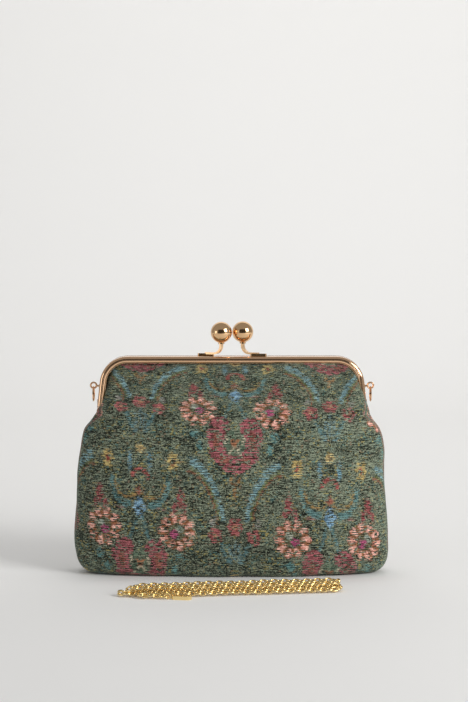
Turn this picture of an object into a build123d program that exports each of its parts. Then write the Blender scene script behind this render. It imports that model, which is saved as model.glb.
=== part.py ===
from build123d import *
import os
from math import sqrt

# A frame clutch: a soft fabric pouch on a hinged metal frame that snaps shut with two balls,
# and its detachable chain strap, folded on the floor in front. The front faces -Y.

# Frame: two halves of channel strip, bent into an arch
arch_height = 37.7
frame_corner_width = 196.8
arm_splay = 4.1
frame_corner_radius = 21.3
frame_band = 5.0
frame_half_depth = 6.4
frame_wall = 0.8
frame_gap = 0.6
frame_edge_bevel = 0.9
frame_groove_width = 0.7
frame_groove_from_edge = 2.6
frame_groove_depth = 0.35
frame_lip_radius = 0.75
frame_lip_proud = 0.35
frame_lip_sides = 8

# Hinge: riveted ears below the feet of the arch
hinge_height = 123.0
foot_rise = 5.0
ear_radius = 4.0
ear_gap = 0.2
ear_overlap = 5.0
ear_neck = 1.2
ear_side_margin = 0.6
rivet_radius = 1.2
rivet_clearance = 0.05
rivet_head_radius = 2.2
rivet_head_thickness = 0.7
rivet_dome_share = 0.6

# Pouch: two outer panels with interlining, and a lining
pouch_overhang = 17.5
pouch_depth = 68.0
panel_thickness = 1.5
lining_gap = 0.3
lining_thickness = 0.5
fabric_play_in_channel = 0.4
fabric_inset_in_channel = 2.3
seam_edge = 1.0
seam_roll = 5.0
hinge_pocket_length = 6.0
hinge_pocket_height = 5.8
hinge_pocket_margin = 0.5
straight_margin = 1.5
paper_cord_radius = 0.8
paper_cord_play = 0.2
paper_cord_inset = 3.4
paper_cord_sides = 6

# Shares of the hinge's height, of half the pouch's width and of half its depth, from the base up
lower_shares = [
    (0.0, 0.87, 0.60),
    (0.03, 0.935, 0.80),
    (0.09, 0.985, 0.93),
    (0.25, 1.0, 1.0),
    (0.50, 0.98, 0.97),
    (0.77, 0.968, 0.86),
    (0.88, 0.946, 0.76),
    (0.95, 0.905, 0.69),
]
# Shares of the way from the arch's feet to its channel, and of half the pouch's depth
upper_shares = [
    (0.0, 0.64),
    (0.38, 0.53),
    (0.63, 0.42),
    (0.82, 0.31),
    (0.95, 0.19),
]
# Points along each section, as shares of its half width and of its depth, below the arch and inside it
lower_belly_shares = [(0.70, 0.80), (0.0, 1.0)]
upper_belly_shares = [(0.76, 0.84), (0.0, 1.0)]
# A section starts steeper than the straight way to its first point
start_slope_share = 3.0

# Ball clasp
ball_radius = 7.9
ball_side_gap = 0.5
ball_rise = 18.3
ball_lean = 3.0
ball_seat = 0.7
arm_plate_length = 12.5
arm_plate_width = 4.2
arm_plate_thickness = 1.4
arm_plate_centre = 20.0
arm_plate_corner = 1.2
arm_plate_back = 0.2
arm_strip_width = 3.8
arm_strip_thickness = 1.5
arm_bend_radius = 6.0
collar_radius = 2.4
collar_height = 1.6

# Side eyelets and the rings that hang in them
eyelet_rise = 14.5
eyelet_reach = 5.0
eyelet_radius = 2.05
eyelet_wire_radius = 0.55
eyelet_foot_radius = 1.6
eyelet_foot_thickness = 0.8
eyelet_stub_radius = 0.8
ring_radius = 5.5
ring_wire_radius = 0.6
ring_play = 0.05
wire_sides = 6

# Chain strap, folded into a hank
hank_length = 164.0
hank_width = 20.4
hank_height = 9.4
hank_centre = (0.5, -86.0)
hank_turn = 8.0
hank_shoulder_share = 0.38
hank_top_width_share = 0.62
hank_edge_share = 0.12
hank_taper_share = 0.26
hank_tip_width_share = 0.30

# Lobster clasps at the strap's ends
clasp_length = 17.0
clasp_width = 7.0
clasp_thickness = 2.6
clasp_tail_radius = 2.2
clasp_tail_centre = 5.2
clasp_opening_radius = 1.9
clasp_opening_tail_radius = 0.9
clasp_opening_tail_centre = 8.8
clasp_eye_radius = 1.75
clasp_eye_wire_radius = 0.55
clasp_neck_radius = 0.9
gate_pivot = (6.9, 1.0)
gate_tail_radius = 0.95
gate_start = 8.2
gate_end = 14.4
gate_side = 0.6
gate_thickness = 1.5
gate_clearance = 0.25
gate_nose_clearance = 0.5
gate_lug_radius = 0.9
gate_lug_centre = (9.8, 3.1)
gate_pin_radius = 0.45
gate_pin_clearance = 0.05
cheek_length = 2.6
end_link_radius = 2.6
end_link_wire_radius = 0.5
end_link_height = 1.9
near_clasp_place = (-45.5, -105.75)
far_clasp_place = (28.0, -67.95)
far_clasp_turn = 8.0

# One overrun serves all cuts
overrun = 2.0

# Worked out from the sizes above
foot_height = hinge_height + foot_rise
frame_top = foot_height + arch_height
frame_foot_width = frame_corner_width + 2 * arm_splay
arm_slope = arm_splay / arch_height
pouch_width = frame_foot_width + 2 * pouch_overhang
ball_height = frame_top + ball_rise
eyelet_height = foot_height + eyelet_rise
frame_outer_y = frame_gap / 2 + frame_half_depth
channel_floor = frame_top - frame_wall
fabric_face = frame_outer_y - frame_wall - fabric_play_in_channel
lining_inset = panel_thickness + lining_gap
lip_centre = frame_outer_y - frame_lip_radius + frame_lip_proud
lining_face = fabric_face - lining_inset - lining_thickness
paper_cord_y = lining_face - paper_cord_play - paper_cord_radius
ball_x = ball_radius + ball_side_gap / 2
gate_link_length = gate_start - gate_pivot[0] + gate_tail_radius

os.makedirs("parts", exist_ok=True)


def save(piece, name):
    """Labels a finished piece and writes it."""
    piece.part.label = name
    export_step(piece.part, f"parts/{name}.step")


# The arch line


def arch_points(inset):
    """Corners of the arch, inset from the frame's outer line."""
    corner = frame_corner_width / 2 - inset * (1 - arm_slope)
    foot = frame_foot_width / 2 - inset
    top = frame_top - inset
    return [(-foot, foot_height), (-corner, top), (corner, top), (foot, foot_height)]


def arch_half_width(height, inset):
    """Half the arch's width at a height, inset from the frame's outer line."""
    radius = frame_corner_radius - inset
    lean = sqrt(1 + arm_slope**2)
    corner = frame_corner_width / 2
    centre_x = corner + frame_corner_radius * (arm_slope - lean)
    rise = height - (frame_top - frame_corner_radius)
    if rise > radius * arm_slope / lean:
        return centre_x + sqrt(max(radius**2 - rise**2, 0))
    return corner - inset * lean + (frame_top - height) * arm_slope


# The pouch


def half_section(height, ends, face, depth, belly_shares, closing):
    """One level of the pouch's front half: two ends, a belly between them and a closing line."""
    outer_x, outer_y = ends
    inner_x, inner_y = face
    left = [(-inner_x * x, -inner_y - (depth - inner_y) * y) for x, y in belly_shares]
    right = [(-x, y) for x, y in reversed(left[:-1])]
    along = left[0][0] + inner_x
    across = (-left[0][1] - inner_y) * start_slope_share
    with BuildSketch(Plane.XY.offset(height)) as section:
        with BuildLine():
            Line((-outer_x, closing), (-outer_x, -outer_y))
            Line((-outer_x, -outer_y), (-inner_x, -inner_y))
            Spline(
                (-inner_x, -inner_y),
                *left,
                *right,
                (inner_x, -inner_y),
                tangents=((along, -across), (along, across)),
            )
            Line((inner_x, -inner_y), (outer_x, -outer_y))
            Line((outer_x, -outer_y), (outer_x, closing))
            Line((outer_x, closing), (-outer_x, closing))
        make_face()
    return section.sketch


def half_pouch_sections(inset, spill):
    """Levels of the front half, inset from the outer skin. A hollow spills past the cut faces."""
    sections = []
    for height_share, width_share, depth_share in lower_shares:
        half_width = width_share * pouch_width / 2 - inset
        depth = depth_share * pouch_depth / 2 - inset
        height = max(height_share * hinge_height, inset)
        ends = (half_width, seam_edge)
        face = (half_width - seam_edge, seam_edge + seam_roll)
        sections.append(half_section(height, ends, face, depth, lower_belly_shares, spill))
    rise = channel_floor - foot_height - frame_band
    edge = fabric_face - inset
    for height_share, depth_share in upper_shares:
        height = foot_height + height_share * rise
        straight = arch_half_width(height, frame_band + straight_margin) - inset
        depth = max(depth_share * pouch_depth / 2 - inset, edge)
        ends = (frame_foot_width / 2 + spill, edge)
        face = (straight, edge)
        sections.append(half_section(height, ends, face, depth, upper_belly_shares, spill))
    straight = arch_half_width(foot_height + rise, frame_band + straight_margin) - inset
    for height in (foot_height + rise, channel_floor + spill):
        ends = (frame_foot_width / 2 + spill, edge)
        face = (straight, edge)
        sections.append(half_section(height, ends, face, edge, upper_belly_shares, spill))
    return sections


# What keeps the fabric inside the channel and clear of the hinges
with BuildPart() as fabric_trim:
    with BuildSketch(Plane.XZ) as outside:
        with Locations((0, foot_height)):
            Rectangle(
                pouch_width,
                frame_top - foot_height + overrun,
                align=(Align.CENTER, Align.MIN),
            )
        with BuildLine():
            arch = FilletPolyline(
                *arch_points(fabric_inset_in_channel),
                radius=frame_corner_radius - fabric_inset_in_channel,
            )
            Line(arch @ 1, arch @ 0)
        make_face(mode=Mode.SUBTRACT)
    extrude(amount=pouch_depth / 2, both=True)
    pocket_bottom = hinge_height - hinge_pocket_height
    with Locations((0, 0, (foot_height + pocket_bottom) / 2)):
        Box(
            pouch_width,
            2 * (frame_outer_y + frame_lip_proud + hinge_pocket_margin),
            foot_height - pocket_bottom,
        )
        Box(
            frame_foot_width - 2 * hinge_pocket_length,
            pouch_depth,
            foot_height - pocket_bottom,
            mode=Mode.SUBTRACT,
        )

with BuildPart() as front_panel:
    loft(half_pouch_sections(0, 0), ruled=True)
    loft(half_pouch_sections(panel_thickness, overrun), ruled=True, mode=Mode.SUBTRACT)
    add(fabric_trim.part, mode=Mode.SUBTRACT)
save(front_panel, "front_panel")

with BuildPart() as back_panel:
    mirror(front_panel.part, about=Plane.XZ)
save(back_panel, "back_panel")

with BuildPart() as front_lining:
    loft(half_pouch_sections(lining_inset, 0), ruled=True)
    loft(
        half_pouch_sections(lining_inset + lining_thickness, overrun),
        ruled=True,
        mode=Mode.SUBTRACT,
    )
    add(fabric_trim.part, mode=Mode.SUBTRACT)
save(front_lining, "front_lining")

with BuildPart() as back_lining:
    mirror(front_lining.part, about=Plane.XZ)
save(back_lining, "back_lining")


# The frame halves


def channel_plane(line):
    """Plane across the start of an arch line: x runs to the front, y into the arch."""
    return Plane(origin=line @ 0, x_dir=(0, -1, 0), z_dir=line % 0)


def ear_plate(web_y):
    """Outline of a flat ear with a rivet hole, from a foot of the arch down to the hinge."""
    near, far = web_y
    with BuildSketch() as outline:
        with Locations((0, hinge_height)):
            Circle(ear_radius)
        with Locations(((near + far) / 2, foot_height)):
            Rectangle(far - near, ear_neck, align=(Align.CENTER, Align.MAX))
        make_hull()
        with Locations(((near + far) / 2, foot_height)):
            Rectangle(far - near, ear_overlap, align=(Align.CENTER, Align.MIN))
        with Locations((0, hinge_height)):
            Circle(rivet_radius + rivet_clearance, mode=Mode.SUBTRACT)
    return outline.sketch


def frame_half(ear_inset, ear_margin):
    """The front half: a channel swept round the arch, with ears set in from its outer faces."""
    with BuildPart() as half:
        with BuildLine(Plane.XZ) as arch_line:
            FilletPolyline(*arch_points(0), radius=frame_corner_radius)
        with BuildSketch(channel_plane(arch_line.line)) as channel:
            with Locations((frame_gap / 2, 0)):
                Rectangle(frame_half_depth, frame_band, align=(Align.MIN, Align.MIN))
            front_corner = channel.vertices().group_by(Axis.Y)[0].sort_by(Axis.X)[-1]
            chamfer(front_corner, frame_edge_bevel)
            with Locations((lip_centre, frame_band - frame_lip_radius)):
                RegularPolygon(frame_lip_radius, frame_lip_sides)
            with Locations((frame_outer_y, frame_groove_from_edge)):
                Rectangle(2 * frame_groove_depth, frame_groove_width, mode=Mode.SUBTRACT)
            with Locations((frame_gap / 2 + frame_wall, frame_wall)):
                Rectangle(
                    frame_half_depth - 2 * frame_wall,
                    frame_band,
                    align=(Align.MIN, Align.MIN),
                    mode=Mode.SUBTRACT,
                )
        sweep(path=arch_line.line)
        web_y = (-frame_outer_y + frame_wall + ear_margin, -frame_gap / 2 - frame_wall - ear_margin)
        outer_x = frame_foot_width / 2 - ear_inset
        for side_x in (-outer_x, outer_x - frame_wall):
            with BuildSketch(Plane.YZ.offset(side_x)):
                add(ear_plate(web_y))
            extrude(amount=frame_wall)
    return half


front_frame = frame_half(0, ear_side_margin)
save(front_frame, "front_frame")

inner_ears_half = frame_half(frame_wall + ear_gap, ear_side_margin)
with BuildPart() as back_frame:
    mirror(inner_ears_half.part, about=Plane.XZ)
save(back_frame, "back_frame")

# Paper cord that packs the fabric into each channel
with BuildPart() as front_edge_cord:
    with BuildLine(Plane.XZ) as cord_line:
        FilletPolyline(
            *arch_points(paper_cord_inset),
            radius=frame_corner_radius - paper_cord_inset,
        )
    with BuildSketch(channel_plane(cord_line.line)):
        with Locations((paper_cord_y, 0)):
            RegularPolygon(paper_cord_radius, paper_cord_sides)
    sweep(path=cord_line.line)
    with Locations((0, 0, foot_height)):
        Box(
            frame_foot_width,
            pouch_depth,
            2 * (ear_overlap + paper_cord_play),
            mode=Mode.SUBTRACT,
        )
save(front_edge_cord, "front_edge_cord")

with BuildPart() as back_edge_cord:
    mirror(front_edge_cord.part, about=Plane.XZ)
save(back_edge_cord, "back_edge_cord")

# Hinge rivets, with a head on each side of the two ears
rivet_grip = 2 * frame_wall + ear_gap + 2 * rivet_clearance
rivet_seat = frame_foot_width / 2 + rivet_clearance
with BuildPart() as hinge_rivets:
    for start, length, radius in (
        (rivet_seat, rivet_head_thickness, rivet_head_radius),
        (rivet_seat - rivet_grip, rivet_grip, rivet_radius),
        (rivet_seat - rivet_grip - rivet_head_thickness, rivet_head_thickness, rivet_head_radius),
    ):
        with BuildSketch(Plane.YZ.offset(start)):
            with Locations((0, hinge_height)):
                Circle(radius)
        extrude(amount=length)
    head_rim = hinge_rivets.edges().filter_by(GeomType.CIRCLE).sort_by(Axis.X)[-1]
    chamfer(head_rim, rivet_head_thickness * rivet_dome_share)
    mirror(about=Plane.YZ)
save(hinge_rivets, "hinge_rivets")

# Ball clasp: the front arm stands to the right and leans back, the back arm is its half turn
arm_plate_y = -frame_gap / 2 - arm_plate_width / 2 - arm_plate_back
arm_run = Vector(ball_x - arm_plate_centre, ball_lean - arm_plate_y)
arm_level = frame_top + arm_plate_thickness + arm_strip_thickness / 2
collar_base = ball_height - ball_radius + ball_seat - collar_height
arm_plane = Plane(
    origin=(arm_plate_centre, arm_plate_y, arm_level),
    x_dir=arm_run.normalized(),
    z_dir=arm_run.normalized().cross(Vector(0, 0, 1)),
)
with BuildPart() as front_ball_arm:
    with BuildSketch(Plane.XY.offset(frame_top)):
        with Locations((arm_plate_centre, arm_plate_y)):
            RectangleRounded(arm_plate_length, arm_plate_width, arm_plate_corner)
    extrude(amount=arm_plate_thickness + arm_strip_thickness / 2)
    with BuildLine(arm_plane) as arm_line:
        FilletPolyline(
            (0, 0),
            (arm_run.length, 0),
            (arm_run.length, collar_base - arm_level + collar_height / 2),
            radius=arm_bend_radius,
        )
    with BuildSketch(Plane(origin=arm_line.line @ 0, x_dir=(0, 0, 1), z_dir=arm_line.line % 0)):
        Rectangle(arm_strip_thickness, arm_strip_width)
    sweep(path=arm_line.line)
    with BuildSketch(Plane.XY.offset(collar_base)):
        with Locations((ball_x, ball_lean)):
            Circle(collar_radius)
    extrude(amount=collar_height)
save(front_ball_arm, "front_ball_arm")

with BuildPart() as front_ball:
    with Locations((ball_x, ball_lean, ball_height)):
        Sphere(ball_radius)
    with Locations((ball_x, ball_lean, collar_base + collar_height)):
        Box(
            2 * ball_radius,
            2 * ball_radius,
            ball_radius,
            align=(Align.CENTER, Align.CENTER, Align.MAX),
            mode=Mode.SUBTRACT,
        )
save(front_ball, "front_ball")

half_turn = 180.0
with BuildPart() as back_ball_arm:
    add(front_ball_arm.part, rotation=(0, 0, half_turn))
save(back_ball_arm, "back_ball_arm")

with BuildPart() as back_ball:
    add(front_ball.part, rotation=(0, 0, half_turn))
save(back_ball, "back_ball")

# Eyelets on the sides of the back half, and the rings that hang in them
eyelet_y = frame_gap / 2 + frame_half_depth / 2
side_normal = Vector(1, 0, arm_slope).normalized()
eyelet_foot = Vector(arch_half_width(eyelet_height, 0), eyelet_y, eyelet_height)
eyelet_centre = eyelet_foot + side_normal * eyelet_reach
eyelet_plane = Plane(origin=eyelet_foot, x_dir=(0, 1, 0), z_dir=side_normal)
with BuildPart() as eyelets:
    with BuildSketch(eyelet_plane):
        Circle(eyelet_foot_radius)
    extrude(amount=eyelet_foot_thickness)
    with BuildSketch(eyelet_plane):
        Circle(eyelet_stub_radius)
    extrude(amount=eyelet_reach - eyelet_radius)
    with BuildSketch(Plane.XY.offset(eyelet_centre.Z)):
        with Locations((eyelet_centre.X + eyelet_radius, eyelet_y)):
            RegularPolygon(eyelet_wire_radius, wire_sides)
    revolve(axis=Axis(eyelet_centre, (0, 1, 0)))
    mirror(about=Plane.YZ)
save(eyelets, "eyelets")

ring_hang = eyelet_radius - eyelet_wire_radius - ring_wire_radius - ring_play
ring_centre = eyelet_centre - Vector(0, 0, ring_hang + ring_radius)
with BuildPart() as right_ring:
    with BuildSketch(Plane.XY.offset(ring_centre.Z)):
        with Locations((ring_centre.X, ring_centre.Y + ring_radius)):
            RegularPolygon(ring_wire_radius, wire_sides)
    revolve(axis=Axis(ring_centre, (1, 0, 0)))
save(right_ring, "right_ring")

with BuildPart() as left_ring:
    mirror(right_ring.part, about=Plane.YZ)
save(left_ring, "left_ring")

# The chain strap's hank: strands in two layers, looped round at one end and drawn out at the other
hank_plane = Plane(Location((*hank_centre, 0), (0, 0, hank_turn)))
half_length = hank_length / 2
half_width = hank_width / 2
taper_start = -half_length + hank_length * hank_taper_share
tip_half_width = half_width * hank_tip_width_share
with BuildPart() as chain_strap:
    with BuildSketch(hank_plane):
        with BuildLine():
            Line((taper_start, half_width), (half_length - half_width, half_width))
            ThreePointArc(
                (half_length - half_width, half_width),
                (half_length, 0),
                (half_length - half_width, -half_width),
            )
            Line((half_length - half_width, -half_width), (taper_start, -half_width))
            Line((taper_start, -half_width), (-half_length, -tip_half_width))
            Line((-half_length, -tip_half_width), (-half_length, tip_half_width))
            Line((-half_length, tip_half_width), (taper_start, half_width))
        make_face()
    extrude(amount=hank_height)
    with BuildSketch(Plane(hank_plane.origin, x_dir=hank_plane.y_dir, z_dir=hank_plane.x_dir)):
        with BuildLine():
            edge_height = hank_height * hank_edge_share
            shoulder_height = hank_height * hank_shoulder_share
            top_half_width = half_width * hank_top_width_share
            Polyline(
                (half_width - edge_height, 0),
                (half_width, edge_height),
                (half_width, shoulder_height),
                (top_half_width, hank_height),
                (-top_half_width, hank_height),
                (-half_width, shoulder_height),
                (-half_width, edge_height),
                (edge_height - half_width, 0),
                close=True,
            )
        make_face()
    extrude(amount=half_length, both=True, mode=Mode.INTERSECT)
save(chain_strap, "chain_strap")


# The clasps


def rounded_bar(start, end):
    """Outline round two discs, each given as its centre along the bar and its radius."""
    with BuildSketch() as bar:
        for centre, radius in (start, end):
            with Locations((centre, 0)):
                Circle(radius)
        make_hull()
    return bar.sketch


clasp_nose_centre = clasp_length - clasp_width / 2
clasp_outline = rounded_bar((clasp_tail_centre, clasp_tail_radius), (clasp_nose_centre, clasp_width / 2))
clasp_opening = rounded_bar(
    (clasp_opening_tail_centre, clasp_opening_tail_radius),
    (clasp_nose_centre, clasp_opening_radius),
)
clasp_eye_height = clasp_eye_radius + clasp_eye_wire_radius
gate_base = (clasp_thickness - gate_thickness) / 2

with BuildPart() as clasp_body:
    with BuildSketch():
        add(clasp_outline)
        add(clasp_opening, mode=Mode.SUBTRACT)
        with Locations((gate_start, gate_side - gate_clearance)):
            Rectangle(
                gate_end + gate_nose_clearance - gate_start,
                clasp_width,
                align=(Align.MIN, Align.MIN),
                mode=Mode.SUBTRACT,
            )
    extrude(amount=clasp_thickness)
    with BuildSketch(Plane.XY.offset(gate_base - gate_clearance)):
        with Locations((gate_start - cheek_length, gate_side - gate_clearance - gate_tail_radius)):
            Rectangle(cheek_length, clasp_width, align=(Align.MIN, Align.MIN))
    extrude(amount=gate_thickness + 2 * gate_clearance, mode=Mode.SUBTRACT)
    with Locations((*gate_pivot, clasp_thickness / 2)):
        Cylinder(gate_pin_radius, clasp_thickness, mode=Mode.SUBTRACT)
    with BuildSketch(Plane.YZ.offset(clasp_eye_radius)):
        with Locations((0, clasp_thickness / 2)):
            Circle(clasp_neck_radius)
    extrude(amount=clasp_tail_centre - clasp_eye_radius)
    with BuildSketch(Plane.XY.offset(clasp_eye_height)):
        with Locations((clasp_eye_radius, 0)):
            RegularPolygon(clasp_eye_wire_radius, wire_sides)
    revolve(axis=Axis((0, 0, clasp_eye_height), (0, 1, 0)))

with BuildPart() as clasp_gate:
    with BuildSketch(Plane.XY.offset(gate_base)):
        with Locations((gate_start, gate_side)):
            Rectangle(gate_end - gate_start, clasp_width, align=(Align.MIN, Align.MIN))
        add(clasp_outline, mode=Mode.INTERSECT)
        add(clasp_opening, mode=Mode.SUBTRACT)
        with Locations(gate_lug_centre):
            Circle(gate_lug_radius)
        with Locations(gate_pivot):
            Circle(gate_tail_radius)
        with Locations(gate_pivot):
            Rectangle(gate_link_length, gate_tail_radius, align=(Align.MIN, Align.MIN))
        with Locations(gate_pivot):
            Circle(gate_pin_radius + gate_pin_clearance, mode=Mode.SUBTRACT)
    extrude(amount=gate_thickness)

with BuildPart() as clasp_pin:
    with Locations((*gate_pivot, clasp_thickness / 2)):
        Cylinder(gate_pin_radius - gate_pin_clearance / 2, clasp_thickness)

with BuildPart() as end_link:
    with BuildSketch(Plane.XZ):
        with Locations((0, end_link_height)):
            RegularPolygon(end_link_wire_radius, wire_sides)
    revolve(axis=Axis((-end_link_radius, 0, 0), (0, 0, 1)))

clasp_places = {
    "near": Location((*near_clasp_place, 0)),
    "far": Location((*far_clasp_place, 0), (0, 0, far_clasp_turn)),
}
for side, place in clasp_places.items():
    for name, piece in (("clasp_body", clasp_body), ("clasp_gate", clasp_gate)):
        with BuildPart() as placed:
            add(piece.part.moved(place))
        save(placed, f"{side}_{name}")

for name, piece in (("clasp_pins", clasp_pin), ("end_links", end_link)):
    with BuildPart() as pair:
        for place in clasp_places.values():
            add(piece.part.moved(place))
    save(pair, name)
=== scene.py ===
# %% [markdown]
# # A clutch bag with a ball clasp
#
# The bag stands on a pale floor with its chain strap folded in front of it. The CAD model gives the metal
# parts and the sizes. This script adds what solids don't show: the woven cloth, its folds, the chain's
# links, the finishes, the light and the camera.

import math

import bmesh
import bpy
from mathutils import Matrix, Vector, noise


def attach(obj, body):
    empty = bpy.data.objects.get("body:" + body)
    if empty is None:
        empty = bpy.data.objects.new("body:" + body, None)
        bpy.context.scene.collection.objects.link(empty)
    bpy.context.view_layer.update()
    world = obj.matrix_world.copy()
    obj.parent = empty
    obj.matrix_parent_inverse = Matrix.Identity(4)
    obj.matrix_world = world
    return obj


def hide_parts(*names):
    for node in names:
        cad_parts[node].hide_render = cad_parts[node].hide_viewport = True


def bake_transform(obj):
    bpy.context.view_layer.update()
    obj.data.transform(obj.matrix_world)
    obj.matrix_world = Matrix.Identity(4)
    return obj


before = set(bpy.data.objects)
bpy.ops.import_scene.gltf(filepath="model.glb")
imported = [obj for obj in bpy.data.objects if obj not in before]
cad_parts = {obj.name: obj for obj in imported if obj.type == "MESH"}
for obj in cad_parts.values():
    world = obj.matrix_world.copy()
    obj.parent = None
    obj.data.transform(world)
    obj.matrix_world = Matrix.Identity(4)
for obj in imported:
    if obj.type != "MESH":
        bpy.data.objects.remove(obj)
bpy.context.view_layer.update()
mm = 0.001
scene = bpy.context.scene
scene.view_settings.view_transform = "Standard"

# %% [markdown]
# ## The camera
#
# The photo was taken from a little above the bag and far away, so the upright edges stay upright. A camera
# could be set by eye, but then the lens and the distance pull against each other. Here the place is chosen
# first, 1.4 m in front, and the lens is worked out from the height of the picture at the bag.

# %% Camera
camera_spot = Vector((1.5, -1400, 267.6)) * mm
aim = Vector((1.5, 0, 169.6)) * mm
view_height = 534.9 * mm

camera_data = bpy.data.cameras.new("camera")
camera_data.sensor_fit = "VERTICAL"
camera_data.sensor_height = 36
camera_data.lens = camera_data.sensor_height * (aim - camera_spot).length / view_height
camera = bpy.data.objects.new("camera", camera_data)
camera.location = camera_spot
camera.rotation_euler = (aim - camera_spot).to_track_quat("-Z", "Y").to_euler()
scene.collection.objects.link(camera)
scene.camera = camera
print("lens, mm:", round(camera_data.lens, 1))

# %% [markdown]
# ## Shader arithmetic
#
# A pattern is mostly arithmetic on two coordinates. It could be wired node by node, but a few hundred Math
# nodes are hard to read. `Value` wraps a socket so that the arithmetic reads as a formula, and `Finish.node`
# makes every other node.


# %% Shader helpers
class Value:
    """A shader socket that takes part in Python arithmetic."""

    def __init__(self, finish, socket):
        self.finish = finish
        self.socket = socket

    def math(self, operation, *others, clamp=False):
        settings = {"operation": operation, "use_clamp": clamp}
        return self.finish.node("ShaderNodeMath", settings, dict(enumerate((self, *others))))

    def turned(self, operation, other):
        settings = {"operation": operation}
        return self.finish.node("ShaderNodeMath", settings, {0: other, 1: self})

    def __add__(self, other):
        return self.math("ADD", other)

    def __sub__(self, other):
        return self.math("SUBTRACT", other)

    def __mul__(self, other):
        return self.math("MULTIPLY", other)

    def __truediv__(self, other):
        return self.math("DIVIDE", other)

    def __pow__(self, other):
        return self.math("POWER", other)

    def __radd__(self, other):
        return self.turned("ADD", other)

    def __rsub__(self, other):
        return self.turned("SUBTRACT", other)

    def __abs__(self):
        return self.math("ABSOLUTE")

    def __or__(self, other):
        return self.math("MAXIMUM", other)

    def __and__(self, other):
        return self.math("MINIMUM", other)


class Finish:
    """A material and the nodes in it."""

    def __init__(self, name):
        self.material = bpy.data.materials.new(name)
        self.material.use_nodes = True
        self.tree = self.material.node_tree
        self.tree.nodes.clear()

    def node(self, kind, settings=None, sockets=None, out=0):
        made = self.tree.nodes.new(kind)
        for name, value in (settings or {}).items():
            setattr(made, name, value)
        for key, value in (sockets or {}).items():
            if isinstance(value, Value):
                self.tree.links.new(value.socket, made.inputs[key])
            else:
                made.inputs[key].default_value = value
        return Value(self, made.outputs[out]) if len(made.outputs) else made

    def mix(self, share, first, second):
        return self.node("ShaderNodeMix", {"data_type": "RGBA"}, {0: share, 6: first, 7: second}, out=2)

    def vector(self, x, y, z=0.0):
        return self.node("ShaderNodeCombineXYZ", None, {0: x, 1: y, 2: z})

    def noise(self, place, scale, detail):
        sockets = {"Vector": place, "Scale": scale, "Detail": detail}
        return self.node("ShaderNodeTexNoise", {"noise_dimensions": "3D"}, sockets)

    def scatter(self, place):
        """A number from 0 to 1 with no link between neighbours."""
        return self.node("ShaderNodeTexWhiteNoise", {"noise_dimensions": "3D"}, {"Vector": place})

    def parts(self, place):
        split = self.node("ShaderNodeSeparateXYZ", None, {0: place}).socket.node
        return [Value(self, socket) for socket in split.outputs]

    def object_place(self):
        return self.node("ShaderNodeTexCoord", None, None, out="Object")

    def bump(self, height, distance, strength):
        sockets = {"Height": height, "Distance": distance, "Strength": strength}
        return self.node("ShaderNodeBump", None, sockets)

    def done(self, **sockets):
        named = {name.replace("_", " "): value for name, value in sockets.items()}
        shader = self.node("ShaderNodeBsdfPrincipled", None, named)
        self.node("ShaderNodeOutputMaterial", None, {0: shader})
        return self.material


def colour(red, green, blue):
    """A colour as a screen shows it, 0 to 255, as the light it stands for."""
    return (*((part / 255) ** 2.2 for part in (red, green, blue)), 1.0)


def paint(material, *names):
    for name in names:
        node = bpy.data.objects[name]
        node.data.materials.clear()
        node.data.materials.append(material)


def add_piece(name, bm, material):
    mesh = bpy.data.meshes.new(name)
    bm.to_mesh(mesh)
    bm.free()
    mesh.materials.append(material)
    for face in mesh.polygons:
        face.use_smooth = True
    piece = bpy.data.objects.new(name, mesh)
    scene.collection.objects.link(piece)
    print(f"{name}: {len(mesh.polygons)} faces")
    return piece


def limited(value):
    """A number kept from 0 to 1."""
    return min(1.0, max(0.0, value))


# %% [markdown]
# ## Stage and light
#
# The floor bends up into a wall, so no line shows where they meet. Two planes would leave an edge, so one
# line with an arc in it is extruded sideways. A dark card stands in front of the bag and shows only in
# reflections: polished metal takes its tones from what it mirrors, and a white room alone would leave the
# frame and the balls pale and flat.

# %% Stage
floor = Finish("floor")
floor_material = floor.done(Base_Color=colour(241, 240, 238), Roughness=0.9)

floor_half_width = 2.6
floor_front = -2.2
floor_back = 1.1
bend_radius = 0.6
bend_parts = 16
wall_top = 2.4

bm = bmesh.new()
line = [bm.verts.new((-floor_half_width, y, 0)) for y in (floor_front, floor_back)]
for step in range(1, bend_parts + 1):
    turn = math.pi / 2 * step / bend_parts
    spot = (-floor_half_width, floor_back + bend_radius * math.sin(turn), bend_radius * (1 - math.cos(turn)))
    line.append(bm.verts.new(spot))
line.append(bm.verts.new((-floor_half_width, floor_back + bend_radius, wall_top)))
edges = [bm.edges.new(pair) for pair in zip(line, line[1:])]
swept = bmesh.ops.extrude_edge_only(bm, edges=edges)["geom"]
moved = [item for item in swept if isinstance(item, bmesh.types.BMVert)]
bmesh.ops.translate(bm, verts=moved, vec=(2 * floor_half_width, 0, 0))
bmesh.ops.recalc_face_normals(bm, faces=bm.faces)
backdrop = add_piece("backdrop", bm, floor_material)

# %% Dark card
card_size = (1.4, 0.8, 1.0)
card_spot = (0, -0.95, 0.42)

card_paper = Finish("card")
card_material = card_paper.done(Base_Color=colour(70, 66, 62), Roughness=0.9)
bm = bmesh.new()
bmesh.ops.create_grid(bm, x_segments=1, y_segments=1, size=0.5)
bmesh.ops.scale(bm, vec=card_size, verts=bm.verts)
stand = Matrix.Translation(card_spot) @ Matrix.Rotation(math.pi / 2, 4, "X")
bmesh.ops.transform(bm, matrix=stand, verts=bm.verts)
card = add_piece("dark_card", bm, card_material)
card.visible_camera = False
card.visible_diffuse = False
card.visible_shadow = False

# %% [markdown]
# The big lamp stands in front on the right and gives the bag its bright side. A weak, low one on the left
# draws the bright line along the frame's left arm, and a third is aimed at the wall. The white room fills
# the shadows.

# %% Light
room_strength = 0.335
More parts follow.
